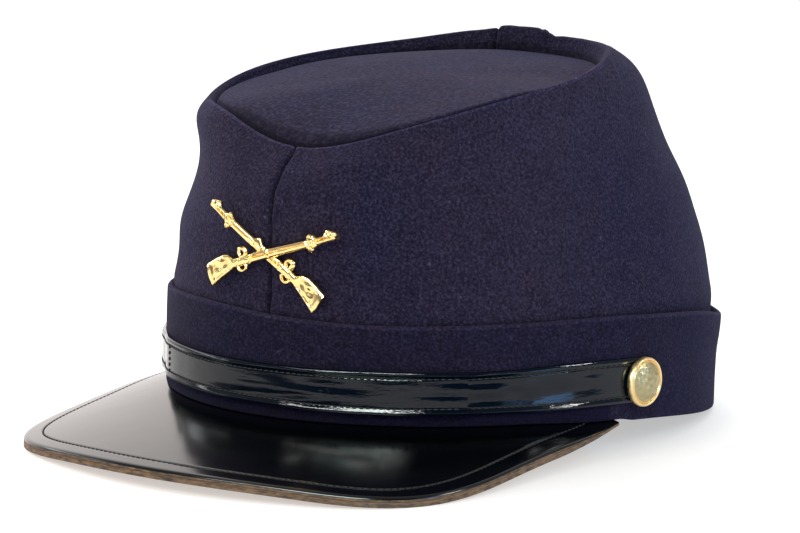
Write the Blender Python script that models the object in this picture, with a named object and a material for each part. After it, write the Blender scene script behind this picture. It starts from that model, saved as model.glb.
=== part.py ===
"""A kepi cap: wool crown and band, patent leather peak and chin strap, brass fittings.

Sizes are in millimetres and angles in degrees until make_object() turns them into metres. The
cap is drawn upright, front towards -Y, then leaned back as it rests on its peak and its band.
An azimuth runs from 0 at the front through 90 at the wearer's left (+X) to 180 at the back.
"""
import math

import bmesh
import bpy
import numpy as np

MM = 0.001
GAP = 0.3                      # clearance between neighbouring pieces

# Band, an oval round the head
HALF_LENGTH = 103.0            # front to back
HALF_WIDTH = 87.0              # side to side
BAND_TOP = 33.1                # height of its upper edge
BAND_CLOTH = 2.2
BAND_FLARE = 1.4               # how far its upper edge stands out at the sides
BACK_TUCK = 3.0                # how far the cloth there is drawn in round the back
LEAN = 1.5                     # how far the front half leans back on its peak, degrees
SETTLE = 6.0                   # how far the soft back half has sunk below the front
SETTLE_START = -30.0           # y where that begins
SETTLE_END = 82.0              # y behind which the base lies flat
FOOT_PRESS = 0.5               # how much of the cloth's edge is pressed flat there

# Crown
CROWN_CLOTH = 2.0
CREST_HALF_LENGTH = 62.0       # the oval along the top of the rolled rim
CREST_HALF_WIDTH = 67.0
CREST_Y = -26.0                # its centre lies forward of the band's
ROLL = 3.5                     # inner radius of the rolled rim
TOP_CLOTH = 1.8
TOP_DOME = 3.0                 # rise of the top's middle above its edge

# The wall's way in from the band (0) to the crest (1), by height from the band's top to the crest
PROFILE_HEIGHTS = (0.0, 0.10, 0.20, 0.35, 0.50, 0.65, 0.80, 0.90, 0.96, 1.0)
UPRIGHT = (0.0, 0.05, 0.04, 0.03, 0.02, 0.02, 0.24, 0.58, 0.84, 1.0)
WAISTED = (0.0, 0.03, 0.12, 0.16, 0.48, 0.76, 0.74, 0.63, 0.76, 1.0)
SLOPED = (0.0, 0.016, 0.054, 0.155, 0.29, 0.47, 0.62, 0.74, 0.865, 1.0)

# Round the crown: azimuth, crest height, depth of the top below it, share of WAISTED, of SLOPED
CROWN_SECTIONS = (
    (-150, 112.9, 4.4, 0.0, 1.0),
    (-120, 107.8, 3.0, 0.2, 0.8),
    (-90, 101.5, 3.0, 0.6, 0.4),
    (-60, 95.5, 3.0, 1.0, 0.0),
    (-30, 93.2, 4.0, 0.5, 0.0),
    (0, 84.7, 5.0, 0.0, 0.0),
    (30, 91.7, 4.0, 0.3, 0.1),
    (60, 101.5, 4.0, 0.3, 0.5),
    (90, 108.8, 5.5, 0.0, 1.0),
    (120, 115.0, 6.6, 0.0, 1.0),
    (150, 116.3, 6.6, 0.0, 1.0),
    (180, 117.5, 7.2, 0.0, 1.0),
)

# Peak: two leathers sewn together, its inner edge running under the band
PEAK_END = 74.0                # azimuth where it ends at each side
PEAK_SEAT = 2.0                # height of its upper face where it leaves the band
PEAK_SLOPE = (9.5, 11.2)       # fall at the front, and how much more at the sides
PEAK_LEATHER = 1.2
UNDERSIDE_LEATHER = 1.8
# azimuth, reach ahead of the band
PEAK_REACH = ((0, 51.7), (16, 52.2), (32, 49.0), (46, 26.9), (60, 11.1), (74, 1.0))

# Chin strap
STRAP_BOTTOM = 6.1
STRAP_TOP = 19.2
STRAP_WIDEN = 1.2              # how much higher its upper edge runs near the buttons
STRAP_LEATHER = 1.0
STRAP_EDGE = 0.3               # the worn corner of the strap's edge
INNER_TRIM = 0.3               # the inner piece is this much narrower at each edge
OUTER_END = 41.8               # azimuth of the outer piece's cut end
INNER_END = -30.5              # azimuth of the inner piece's hidden end
BUTTON_AZIMUTH = 79.3
STRAP_PAST_BUTTON = 2.6        # degrees that a strap's end runs on under its button

# Buttons
BUTTON_RADIUS = 7.9
BUTTON_HEIGHT = 12.6
# radius share, distance out from the strap
BUTTON_PROFILE = ((0.0, 0.0), (0.90, 0.0), (1.0, 0.7), (1.0, 1.3), (0.93, 1.8), (0.85, 1.75),
                  (0.60, 3.0), (0.32, 3.7), (0.0, 3.9))

# Badge: two crossed rifles on the front seam
BADGE_HEIGHT = 52.5
BADGE_TURN = -7.6              # the whole badge is pinned a little askew
RIFLE_ANGLE = 24.1             # each barrel's angle from the badge's own level
BADGE_BEND = 0.003             # its back follows this much of x squared
BADGE_STANDOFF = 0.5
RIFLE_THICK = 1.5
RIFLE_CROSS = 1.0              # how far the upper rifle stands in front of the lower
# distance along from the crossing, upper edge, lower edge
RIFLE_OUTLINE = (
    (26.3, 0.8, -1.0),         # muzzle
    (25.3, 1.9, -1.1),
    (23.5, 2.6, -1.1),
    (22.1, 1.1, -1.1),
    (19.5, 1.1, -1.4),         # barrel band
    (18.7, 2.6, -1.8),
    (17.5, 2.5, -2.6),
    (16.3, 1.2, -2.6),
    (15.0, 1.1, -1.4),
    (6.3, 1.2, -1.55),         # rear sight
    (5.1, 2.6, -1.55),
    (3.9, 2.5, -1.55),
    (2.5, 1.4, -1.6),
    (-5.9, 1.2, -1.8),         # wrist
    (-12.5, 0.9, -2.0),
    (-14.5, 2.5, -2.5),        # butt
    (-16.5, 2.9, -3.2),
    (-19.5, 2.5, -4.2),
    (-23.3, 1.7, -5.7),
    (-23.8, 1.5, -4.0),
)
# small rings on each rifle: distance along, up, radius, wire radius
RIFLE_RINGS = (
    (-8.7, 2.3, 1.35, 0.55),   # hammer
    (-9.7, -2.3, 1.6, 0.5),    # trigger guard
)

# How finely each piece is faceted
BAND_STEPS = 84
CROWN_STEPS = 40
TOP_STEPS = 40
PEAK_STEPS = 44
STRAP_STEP = 4.0


def spline(knots, values, at):
    """Natural cubic curve through the knots, for one or more columns of values."""
    x = np.asarray(knots, float)
    y = np.asarray(values, float).reshape(len(x), -1)
    h = np.diff(x)[:, None]
    slope = np.diff(y, axis=0) / h
    system = np.eye(len(x))
    right = np.zeros_like(y)
    for i in range(1, len(x) - 1):
        system[i, i - 1] = h[i - 1, 0]
        system[i, i] = 2 * (h[i - 1, 0] + h[i, 0])
        system[i, i + 1] = h[i, 0]
        right[i] = 6 * (slope[i] - slope[i - 1])
    bend = np.linalg.solve(system, right)
    at = np.atleast_1d(np.asarray(at, float))
    i = np.clip(np.searchsorted(x, at) - 1, 0, len(x) - 2)
    left = (at - x[i])[:, None]
    rest = (x[i + 1] - at)[:, None]
    wide = h[i]
    out = (bend[i] * rest**3 + bend[i + 1] * left**3) / (6 * wide)
    out += (y[i] / wide - bend[i] * wide / 6) * rest
    out += (y[i + 1] / wide - bend[i + 1] * wide / 6) * left
    return out


def smooth(low, high, value):
    """Soft step from 0 at low to 1 at high."""
    t = np.clip((value - low) / (high - low), 0.0, 1.0)
    return t * t * (3 - 2 * t)


def oval(azimuth, outset=0.0):
    """Plan position on the band's oval, moved out along its normal."""
    a = np.radians(azimuth)
    x, y = HALF_WIDTH * np.sin(a), -HALF_LENGTH * np.cos(a)
    nx, ny = oval_normal(azimuth)
    return x + nx * outset, y + ny * outset


def oval_normal(azimuth):
    a = np.radians(azimuth)
    nx, ny = np.sin(a) / HALF_WIDTH, -np.cos(a) / HALF_LENGTH
    size = np.hypot(nx, ny)
    return nx / size, ny / size


def settle(y):
    """How far the base sinks at y, so that it lies level from SETTLE_END back."""
    level = SETTLE + (HALF_LENGTH - y) * math.tan(math.radians(LEAN))
    return level * smooth(SETTLE_START, SETTLE_END, y)


def side_shift(azimuth):
    """How far the band's upper edge, and the crown inside it, stand out from the oval."""
    turn = np.abs(azimuth)
    flare = BAND_FLARE * smooth(70, 105, turn) * (1 - smooth(118, 135, turn))
    return flare, -BACK_TUCK * smooth(120, 145, turn)


def at_rest(points):
    """From the upright cap to the cap as it lies, with the origin under its middle."""
    p = np.asarray(points, float)
    c, s = math.cos(math.radians(LEAN)), math.sin(math.radians(LEAN))
    y = p[..., 1] * c + p[..., 2] * s
    z = p[..., 2] * c - (p[..., 1] - HALF_LENGTH) * s + SETTLE
    middle = (HALF_LENGTH - HALF_LENGTH - PEAK_REACH[0][1]) / 2
    return np.stack([p[..., 0], y - middle, np.maximum(z, 0.0)], -1)


def peak_height(azimuth, reach):
    """Height of the peak's upper face, reach ahead of the band."""
    fall = PEAK_SLOPE[0] + PEAK_SLOPE[1] * np.sin(np.radians(azimuth)) ** 2
    return PEAK_SEAT - reach * np.tan(np.radians(fall))


def base_height(azimuth, outset):
    """Height of the cloth's lower edge: on the peak's inner edge in front, free behind it."""
    y = oval(azimuth, outset)[1]
    side = smooth(PEAK_END + 2.5, PEAK_END + 10, np.abs(azimuth))
    held = np.clip(azimuth, -PEAK_END, PEAK_END)
    pressed = FOOT_PRESS * smooth(SETTLE_START, SETTLE_END, y)
    return (peak_height(held, outset) + GAP) * (1 - side) - settle(y) - pressed


def crown_row(azimuth):
    """Crest height, depth of the top, and the wall's profile at each azimuth."""
    rows = np.array(CROWN_SECTIONS, float)
    wrapped = np.concatenate([rows - [360, 0, 0, 0, 0], rows, rows + [360, 0, 0, 0, 0]])
    crest, drop, waisted, sloped = spline(wrapped[:, 0], wrapped[:, 1:], azimuth).T
    upright = 1 - waisted - sloped
    profile = np.outer(upright, UPRIGHT) + np.outer(waisted, WAISTED) + np.outer(sloped, SLOPED)
    return crest, drop, profile


def crest_plan(azimuth, inset):
    a = np.radians(azimuth)
    x = CREST_HALF_WIDTH * np.sin(a)
    y = CREST_Y - CREST_HALF_LENGTH * np.cos(a)
    nx, ny = np.sin(a) / CREST_HALF_WIDTH, -np.cos(a) / CREST_HALF_LENGTH
    size = np.hypot(nx, ny)
    return x - nx / size * inset, y - ny / size * inset


def crown_wall(azimuth):
    """The side panel's visible face, from inside the band up, over the rim and down to the top."""
    azimuth = np.asarray(azimuth, float)
    crest, drop, profile = crown_row(azimuth)
    outset = -(BAND_CLOTH + GAP)
    x0, y0 = oval(azimuth, outset + side_shift(azimuth)[1])
    x1, y1 = crest_plan(azimuth, 0.0)
    sink = settle(y0)
    rows = []
    low = base_height(azimuth, outset - CROWN_CLOTH)
    for share in (0.0, 0.5):
        rows.append((x0, y0, low + share * (BAND_TOP - sink - low)))
    for k, height in enumerate(PROFILE_HEIGHTS):
        f = profile[:, k]
        foot = BAND_TOP - sink
        rows.append((x0 + f * (x1 - x0), y0 + f * (y1 - y0), foot + height * (crest - foot)))
    for turn in (35, 65, 90):
        t = math.radians(turn)
        x, y = crest_plan(azimuth, ROLL * math.sin(t))
        rows.append((x, y, crest - ROLL * (1 - math.cos(t))))
    x, y = crest_plan(azimuth, ROLL)
    rows.append((x, y, crest - np.maximum(drop, ROLL) - TOP_CLOTH - 0.4))
    return np.stack([np.stack(r, -1) for r in rows], 1)


def thicken(face, cloth):
    """The face moved back along its own normals."""
    along = np.gradient(face, axis=1)
    around = np.gradient(face, axis=0)
    normal = np.cross(around, along)
    normal /= np.linalg.norm(normal, axis=-1, keepdims=True)
    return face - normal * cloth


def make_object(name, vertices, faces, material, smooth_angle=35):
    """One closed mesh object in metres, its faces pointing out."""
    mesh = bpy.data.meshes.new(name)
    mesh.from_pydata([tuple(v) for v in np.asarray(vertices, float) * MM], [], faces)
    bm = bmesh.new()
    bm.from_mesh(mesh)
    bmesh.ops.remove_doubles(bm, verts=bm.verts, dist=0.02 * MM)
    bmesh.ops.recalc_face_normals(bm, faces=bm.faces)
    if bm.calc_volume(signed=True) < 0:
        bmesh.ops.reverse_faces(bm, faces=bm.faces)
    bm.to_mesh(mesh)
    bm.free()
    mesh.materials.append(material)
    mesh.shade_smooth()
    mesh.set_sharp_from_angle(angle=math.radians(smooth_angle))
    obj = bpy.data.objects.new(name, mesh)
    bpy.context.scene.collection.objects.link(obj)
    return obj


def shell(name, front, back, material, ring=False):
    """A closed solid between two grids of points, open or closed round its first axis."""
    n, m = front.shape[:2]
    vertices = np.concatenate([at_rest(front).reshape(-1, 3), at_rest(back).reshape(-1, 3)])
    second = n * m
    faces = []
    for i in range(n if ring else n - 1):
        j = (i + 1) % n
        for k in range(m - 1):
            a, b, c, d = i * m + k, j * m + k, j * m + k + 1, i * m + k + 1
            faces.append((a, b, c, d))
            faces.append((second + a, second + d, second + c, second + b))
        for k in (0, m - 1):
            a, b = i * m + k, j * m + k
            faces.append((a, second + a, second + b, b))
    if not ring:
        for i in (0, n - 1):
            for k in range(m - 1):
                a, b = i * m + k, i * m + k + 1
                faces.append((a, b, second + b, second + a))
    return make_object(name, vertices, faces, material)


def material(name, colour, roughness, metallic=0.0):
    mat = bpy.data.materials.new(name)
    mat.use_nodes = True
    shader = mat.node_tree.nodes["Principled BSDF"]
    shader.inputs["Base Color"].default_value = (*colour, 1.0)
    shader.inputs["Roughness"].default_value = roughness
    shader.inputs["Metallic"].default_value = metallic
    mat.diffuse_color = (*colour, 1.0)
    return mat


def build_crown(wool):
    """Two side panels, each set off from the seams' plane by half a gap, and the sunken top."""
    azimuth = np.linspace(0.0, 180.0, CROWN_STEPS + 1)
    for name, side in (("crown_left", 1), ("crown_right", -1)):
        face = crown_wall(azimuth * side)
        back = thicken(face, CROWN_CLOTH * side)
        for grid in (face, back):
            grid[..., 0] += side * GAP / 2
            grid[[0, -1], :, 0] = side * GAP / 2
        shell(name, face, back, wool)

    azimuth = np.arange(TOP_STEPS) * 360.0 / TOP_STEPS - 180.0
    crest, drop, _ = crown_row(azimuth)
    x, y = crest_plan(azimuth, ROLL + GAP)
    edge = np.stack([x, y, crest - drop], -1)
    flat = np.linalg.lstsq(np.stack([x, y, np.ones_like(x)], -1), edge[:, 2], rcond=None)[0]
    centre = np.array([0.0, CREST_Y])
    rows = []
    for share in (1.0, 0.9, 0.7, 0.45, 0.2, 0.02):
        px, py = centre[0] + share * (x - centre[0]), centre[1] + share * (y - centre[1])
        plane = flat[0] * px + flat[1] * py + flat[2]
        off_plane = edge[:, 2] - (flat[0] * x + flat[1] * y + flat[2])
        rows.append((px, py, plane + off_plane * share**2 + TOP_DOME * (1 - share**2)))
    face = np.stack([np.stack(r, -1) for r in rows], 1)
    vertices = []
    faces = []
    under = np.array([0.0, 0.0, TOP_CLOTH])
    for grid in (face, face - under):
        vertices.append(at_rest(grid).reshape(-1, 3))
    n, m = face.shape[:2]
    second = n * m
    for i in range(n):
        j = (i + 1) % n
        for k in range(m - 1):
            a, b, c, d = i * m + k, j * m + k, j * m + k + 1, i * m + k + 1
            faces.append((a, b, c, d))
            faces.append((second + a, second + d, second + c, second + b))
        faces.append((i * m, second + i * m, second + j * m, j * m))
    faces.append(tuple(i * m + m - 1 for i in range(n)))
    faces.append(tuple(second + i * m + m - 1 for i in reversed(range(n))))
    make_object("crown_top", np.concatenate(vertices), faces, wool)


def build_band(wool):
    azimuth = np.arange(BAND_STEPS) * 360.0 / BAND_STEPS - 180.0
    flare, tuck = side_shift(azimuth)

    def line(outset, up, share):
        """One line round the band: outset, height from its top, and its share of the flare."""
        x, y = oval(azimuth, outset + flare * share + tuck)
        return np.stack([x, y, BAND_TOP - settle(y) + up], -1)

    def foot(outset):
        x, y = oval(azimuth, outset + tuck)
        return np.stack([x, y, base_height(azimuth, outset)], -1)

    fold = BAND_CLOTH / 2
    outer = [foot(0.0), line(0.0, -20.0, 0.0), line(0.0, -9.0, 0.3), line(0.0, -fold, 1.0),
             line(-0.3 * fold, -0.3 * fold, 1.0), line(-fold, 0.0, 1.0)]
    inner = [foot(-BAND_CLOTH), line(-BAND_CLOTH, -20.0, 0.0), line(-BAND_CLOTH, -9.0, 0.3),
             line(-BAND_CLOTH, -fold, 1.0), line(-1.7 * fold, -0.3 * fold, 1.0), line(-fold, 0.0, 1.0)]
    shell("band", np.stack(outer, 1), np.stack(inner, 1), wool, ring=True)


def peak_azimuths():
    """Azimuths that cut the peak's outer edge into equal lengths."""
    fine = np.linspace(-PEAK_END, PEAK_END, 721)
    edge = peak_edge(fine)
    length = np.concatenate([[0], np.cumsum(np.linalg.norm(np.diff(edge, axis=0), axis=1))])
    return np.interp(np.linspace(0, length[-1], PEAK_STEPS + 1), length, fine)


def peak_reach(azimuth):
    half = np.array(PEAK_REACH, float)
    both = np.concatenate([half[:0:-1] * [-1, 1], half])
    return spline(both[:, 0], both[:, 1], azimuth)[:, 0]


def peak_edge(azimuth):
    x, y = oval(azimuth, 0.0)
    nx, ny = oval_normal(azimuth)
    reach = peak_reach(azimuth)
    return np.stack([x + nx * reach, y + ny * reach], -1)


def build_peak(patent, raw_leather):
    azimuth = peak_azimuths()
    reach = peak_reach(azimuth)
    inner = -(BAND_CLOTH + GAP + CROWN_CLOTH)
    rows = []
    for share in (0.0, 0.5, 1.0):
        rows.append(np.full_like(reach, inner * (1 - share)))
    for share in (0.35, 0.7, 1.0):
        rows.append(reach * share)
    grids = []
    for out in rows:
        x, y = oval(azimuth, out)
        grids.append(np.stack([x, y, peak_height(azimuth, out)], -1))
    upper = np.stack(grids, 1)
    down = np.array([0.0, 0.0, 1.0])
    shell("peak", upper, upper - down * PEAK_LEATHER, patent)
    upper = upper - down * (PEAK_LEATHER + GAP)
    shell("peak_underside", upper, upper - down * UNDERSIDE_LEATHER, raw_leather)


def build_strap(name, start, end, outset, trim, patent):
    """A strap along the band; outset gives its inner face's distance from the band."""
    count = int(math.ceil(abs(end - start) / STRAP_STEP))
    azimuth = np.linspace(start, end, count + 1)
    inside = outset(azimuth)
    front, back = [], []
    low = np.full_like(azimuth, STRAP_BOTTOM + trim)
    high = STRAP_TOP - trim + STRAP_WIDEN * smooth(45, BUTTON_AZIMUTH, np.abs(azimuth))
    for height, out in ((low, STRAP_LEATHER - STRAP_EDGE), (low + 2 * STRAP_EDGE, STRAP_LEATHER),
                        (high - 2 * STRAP_EDGE, STRAP_LEATHER), (high, STRAP_LEATHER - STRAP_EDGE)):
        for rows, extra in ((front, out), (back, 0.0)):
            x, y = oval(azimuth, inside + extra)
            rows.append(np.stack([x, y, height - settle(y)], -1))
    shell(name, np.stack(front, 1), np.stack(back, 1), patent)


def build_straps(patent):
    end = BUTTON_AZIMUTH + STRAP_PAST_BUTTON
    over = 2 * GAP + STRAP_LEATHER

    def on_band(azimuth):
        return np.full_like(azimuth, GAP)

    def over_inner(azimuth):
        return GAP + (over - GAP) * smooth(INNER_END - 9, INNER_END - 1, azimuth)

    build_strap("chin_strap_inner", INNER_END, end, on_band, INNER_TRIM, patent)
    build_strap("chin_strap_outer", -end, OUTER_END, over_inner, 0.0, patent)


def build_button(name, side, brass):
    """A turned, domed button standing on the strap's end."""
    azimuth = side * BUTTON_AZIMUTH
    x, y = (float(v) for v in oval(azimuth, 2 * GAP + STRAP_LEATHER))
    nx, ny = oval_normal(azimuth)
    out = np.array([nx, ny, 0.0])
    across = np.array([-ny, nx, 0.0])
    up = np.array([0.0, 0.0, 1.0])
    centre = np.array([x, y, BUTTON_HEIGHT - float(settle(y))])
    steps = 20
    vertices = []
    rings = [p for p in BUTTON_PROFILE if p[0] > 0]
    for share, depth in rings:
        for i in range(steps):
            t = 2 * math.pi * i / steps
            radial = across * math.cos(t) + up * math.sin(t)
            vertices.append(centre + radial * share * BUTTON_RADIUS + out * depth)
    vertices.append(centre + out * BUTTON_PROFILE[0][1])
    vertices.append(centre + out * BUTTON_PROFILE[-1][1])
    foot, tip = len(vertices) - 2, len(vertices) - 1
    faces = []
    for i in range(steps):
        j = (i + 1) % steps
        for k in range(len(rings) - 1):
            faces.append((k * steps + i, k * steps + j, (k + 1) * steps + j, (k + 1) * steps + i))
        faces.append((foot, j, i))
        last = (len(rings) - 1) * steps
        faces.append((tip, last + i, last + j))
    make_object(name, at_rest(np.array(vertices)), faces, brass)


def on_badge(along, up, depth, angle, side):
    """From a rifle's own axes to the curved badge on the crown's front."""
    a = math.radians(angle)
    t = math.radians(BADGE_TURN)
    u, v = along * math.cos(a) - up * math.sin(a), along * math.sin(a) + up * math.cos(a)
    u *= side
    x, z = u * math.cos(t) - v * math.sin(t), u * math.sin(t) + v * math.cos(t)
    front = HALF_LENGTH - BAND_CLOTH - GAP + BADGE_STANDOFF
    return np.array([x, -(front + depth) + BADGE_BEND * x * x, BADGE_HEIGHT + z])


def rifle_plate(side, lift, name, brass):
    """A rifle's low relief: its outline, raised along the middle."""
    section = ((1, 0.0), (1, 0.65), (0.45, 1.0), (-0.45, 1.0), (-1, 0.65), (-1, 0.0))
    vertices = []
    for along, top, bottom in RIFLE_OUTLINE:
        middle, half = (top + bottom) / 2, (top - bottom) / 2
        for across, thick in section:
            depth = lift + RIFLE_THICK * thick if thick else 0.0
            vertices.append(on_badge(along, middle + across * half, depth, RIFLE_ANGLE, side))
    m = len(section)
    faces = []
    for i in range(len(RIFLE_OUTLINE) - 1):
        for k in range(m):
            a, b = i * m + k, i * m + (k + 1) % m
            faces.append((a, b, b + m, a + m))
    faces.append(tuple(reversed(range(m))))
    faces.append(tuple((len(RIFLE_OUTLINE) - 1) * m + k for k in range(m)))
    return make_object(name, at_rest(np.array(vertices)), faces, brass, smooth_angle=25)


def rifle_ring(side, lift, row, name, brass):
    """A small ring standing on the badge's back plane: a hammer or a trigger guard."""
    along, up, radius, wire = row
    steps, sides = 10, 6
    vertices = []
    for i in range(steps):
        t = 2 * math.pi * i / steps
        for k in range(sides):
            s = 2 * math.pi * (k + 0.5) / sides
            r = radius + wire * math.cos(s)
            depth = lift + wire * 1.1 + wire * math.sin(s)
            place = on_badge(along + r * math.cos(t), up + r * math.sin(t), depth, RIFLE_ANGLE, side)
            vertices.append(place)
    faces = []
    for i in range(steps):
        j = (i + 1) % steps
        for k in range(sides):
            q = (k + 1) % sides
            faces.append((i * sides + k, j * sides + k, j * sides + q, i * sides + q))
    return make_object(name, at_rest(np.array(vertices)), faces, brass)


def build_badge(brass):
    """Both rifles and their rings, fused into one casting."""
    badge = rifle_plate(-1, 0.0, "badge", brass)
    pieces = [rifle_plate(1, RIFLE_CROSS, "badge_upper_rifle", brass)]
    for side, lift in ((-1, 0.0), (1, RIFLE_CROSS)):
        for k, row in enumerate(RIFLE_RINGS):
            pieces.append(rifle_ring(side, lift, row, f"badge_ring_{side + 1}_{k}", brass))
    for piece in pieces:
        piece.hide_render = True
        piece.display_type = 'WIRE'
        join = badge.modifiers.new(piece.name, 'BOOLEAN')
        join.operation = 'UNION'
        join.solver = 'EXACT'
        join.object = piece


def main():
    for obj in list(bpy.data.objects):
        bpy.data.objects.remove(obj)
    wool = material("navy_wool", (0.024, 0.021, 0.050), 0.95)
    patent = material("patent_leather", (0.008, 0.010, 0.011), 0.12)
    raw_leather = material("raw_leather", (0.22, 0.12, 0.06), 0.70)
    brass = material("polished_brass", (0.85, 0.58, 0.20), 0.22, 1.0)
    build_crown(wool)
    build_band(wool)
    build_peak(patent, raw_leather)
    build_straps(patent)
    build_button("button_left", 1, brass)
    build_button("button_right", -1, brass)
    build_badge(brass)


main()
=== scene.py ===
"""Looks of the kepi cap: felted wool, patent leather, raw leather edges, thread and brass.

Lengths are in millimetres in the cap's own upright frame, as in the part's source, until piece()
turns them into metres in the shared frame. Azimuths run from 0 at the front through 90 at the
wearer's left (+X) to 180 at the back.
"""
import math

import bmesh
import bpy
import numpy as np
from mathutils import Matrix, Quaternion, Vector


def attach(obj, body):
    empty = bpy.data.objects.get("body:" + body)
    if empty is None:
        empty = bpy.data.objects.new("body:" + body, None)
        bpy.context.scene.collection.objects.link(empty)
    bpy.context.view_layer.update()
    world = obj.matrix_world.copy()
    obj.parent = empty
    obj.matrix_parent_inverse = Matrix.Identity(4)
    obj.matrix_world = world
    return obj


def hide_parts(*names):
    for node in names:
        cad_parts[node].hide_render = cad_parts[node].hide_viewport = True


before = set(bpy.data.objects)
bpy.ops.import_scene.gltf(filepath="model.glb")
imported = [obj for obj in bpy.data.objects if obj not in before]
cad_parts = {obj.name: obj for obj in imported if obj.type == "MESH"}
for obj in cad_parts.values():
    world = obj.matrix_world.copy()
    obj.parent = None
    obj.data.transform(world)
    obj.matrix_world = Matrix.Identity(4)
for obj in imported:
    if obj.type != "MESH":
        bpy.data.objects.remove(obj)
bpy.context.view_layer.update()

MM = 0.001

# ---- the cap's main form, as in the CAD
HALF_LENGTH, HALF_WIDTH = 103.0, 87.0
BAND_TOP, BAND_CLOTH, BAND_FLARE, BACK_TUCK = 33.1, 2.2, 1.4, 3.0
LEAN, SETTLE, SETTLE_START, SETTLE_END = 1.5, 6.0, -30.0, 82.0
GAP = 0.3
CROWN_CLOTH = 2.0
CREST_HALF_LENGTH, CREST_HALF_WIDTH, CREST_Y = 62.0, 67.0, -26.0
ROLL = 1.1
TOP_CLOTH = 1.8
PROFILE_HEIGHTS = (0.0, 0.1, 0.2, 0.35, 0.5, 0.65, 0.8, 0.9, 0.96, 1.0)
UPRIGHT = (0.0, 0.05, 0.04, 0.03, 0.02, 0.02, 0.24, 0.58, 0.84, 1.0)
WAISTED = (0.0, 0.03, 0.12, 0.16, 0.48, 0.76, 0.74, 0.63, 0.76, 1.0)
SLOPED = (0.0, 0.016, 0.054, 0.155, 0.29, 0.47, 0.62, 0.74, 0.865, 1.0)
# azimuth, crest height, depth of the top below it, share of WAISTED, of SLOPED
CROWN_SECTIONS = (
    (-150, 112.9, 4.4, 0.0, 1.0),
    (-120, 107.8, 3.0, 0.2, 0.8),
    (-90, 101.5, 3.0, 0.6, 0.4),
    (-60, 95.5, 3.0, 1.0, 0.0),
    (-30, 93.2, 4.0, 0.5, 0.0),
    (0, 84.7, 5.0, 0.0, 0.0),
    (30, 91.7, 4.0, 0.3, 0.1),
    (60, 101.5, 4.0, 0.3, 0.5),
    (90, 108.8, 5.5, 0.0, 1.0),
    (120, 115.0, 6.6, 0.0, 1.0),
    (150, 116.3, 6.6, 0.0, 1.0),
    (180, 117.5, 7.2, 0.0, 1.0),
)
PEAK_END, PEAK_SEAT, PEAK_SLOPE = 74.0, 2.0, (9.5, 11.2)
PEAK_LEATHER, UNDERSIDE_LEATHER = 1.2, 1.8
PEAK_REACH = ((0, 51.7), (16, 52.2), (32, 49.0), (46, 26.9), (60, 11.1), (74, 1.0))
MIDDLE_SHIFT = PEAK_REACH[0][1] / 2  # from the middle of the band's oval to that of cap and peak
STRAP_LEATHER = 1.0
OUTER_END, INNER_END, BUTTON_AZIMUTH = 41.8, -30.5, 79.3
BUTTON_RADIUS, BUTTON_HEIGHT = 7.9, 12.6
BADGE_HEIGHT, BADGE_TURN, RIFLE_ANGLE, BADGE_BEND = 52.5, -7.6, 24.1, 0.003


def spline(knots, values, at):
    """Natural cubic curve through the knots, for one or more columns of values."""
    x = np.asarray(knots, float)
    y = np.asarray(values, float).reshape(len(x), -1)
    h = np.diff(x)[:, None]
    slope = np.diff(y, axis=0) / h
    system = np.eye(len(x))
    right = np.zeros_like(y)
    for i in range(1, len(x) - 1):
        system[i, i - 1] = h[i - 1, 0]
        system[i, i] = 2 * (h[i - 1, 0] + h[i, 0])
        system[i, i + 1] = h[i, 0]
        right[i] = 6 * (slope[i] - slope[i - 1])
    bend = np.linalg.solve(system, right)
    at = np.atleast_1d(np.asarray(at, float))
    i = np.clip(np.searchsorted(x, at) - 1, 0, len(x) - 2)
    left = (at - x[i])[:, None]
    rest = (x[i + 1] - at)[:, None]
    wide = h[i]
    out = (bend[i] * rest**3 + bend[i + 1] * left**3) / (6 * wide)
    out += (y[i] / wide - bend[i] * wide / 6) * rest
    out += (y[i + 1] / wide - bend[i + 1] * wide / 6) * left
    return out


def smooth(low, high, value):
    """0 below low, 1 above high and a soft step between; low may be the larger one."""
    t = np.clip((np.asarray(value, float) - low) / (high - low), 0.0, 1.0)
    return t * t * (3 - 2 * t)


def bell(value, centre, width):
    return np.exp(-(((value - centre) / width) ** 2))


def quarter_round(distance, radius):
    """0 at an edge and 1 from this far in, along a quarter circle."""
    return np.sqrt(np.clip(1 - (1 - np.clip(distance / radius, 0, 1)) ** 2, 0, 1))


def look_up(rows, at):
    return np.interp(at, *np.array(rows, float).T)


def oval_normal(azimuth, half_width=HALF_WIDTH, half_length=HALF_LENGTH):
    a = np.radians(azimuth)
    nx, ny = np.sin(a) / half_width, -np.cos(a) / half_length
    size = np.hypot(nx, ny)
    return nx / size, ny / size


def oval(azimuth, outset=0.0, half_width=HALF_WIDTH, half_length=HALF_LENGTH, middle=0.0):
    a = np.radians(azimuth)
    nx, ny = oval_normal(azimuth, half_width, half_length)
    return half_width * np.sin(a) + nx * outset, middle - half_length * np.cos(a) + ny * outset


def settle(y):
    """How far the soft back of the cap is pressed down where it lies on the surface."""
    level = SETTLE + (HALF_LENGTH - y) * math.tan(math.radians(LEAN))
    return level * smooth(SETTLE_START, SETTLE_END, y)


def on_side(azimuth, outset, height):
    """Points this far outside the oval, at a height of the upright cap, as the soft side settles."""
    x, y = oval(azimuth, outset)
    return np.stack([x, y, height - settle(y)], -1)


def side_shift(azimuth):
    """How far the band stands out at its sides, and how far it is drawn in at the back."""
    turn = np.abs(azimuth)
    flare = BAND_FLARE * smooth(70, 105, turn) * (1 - smooth(118, 135, turn))
    return flare, -BACK_TUCK * smooth(120, 145, turn)


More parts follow.
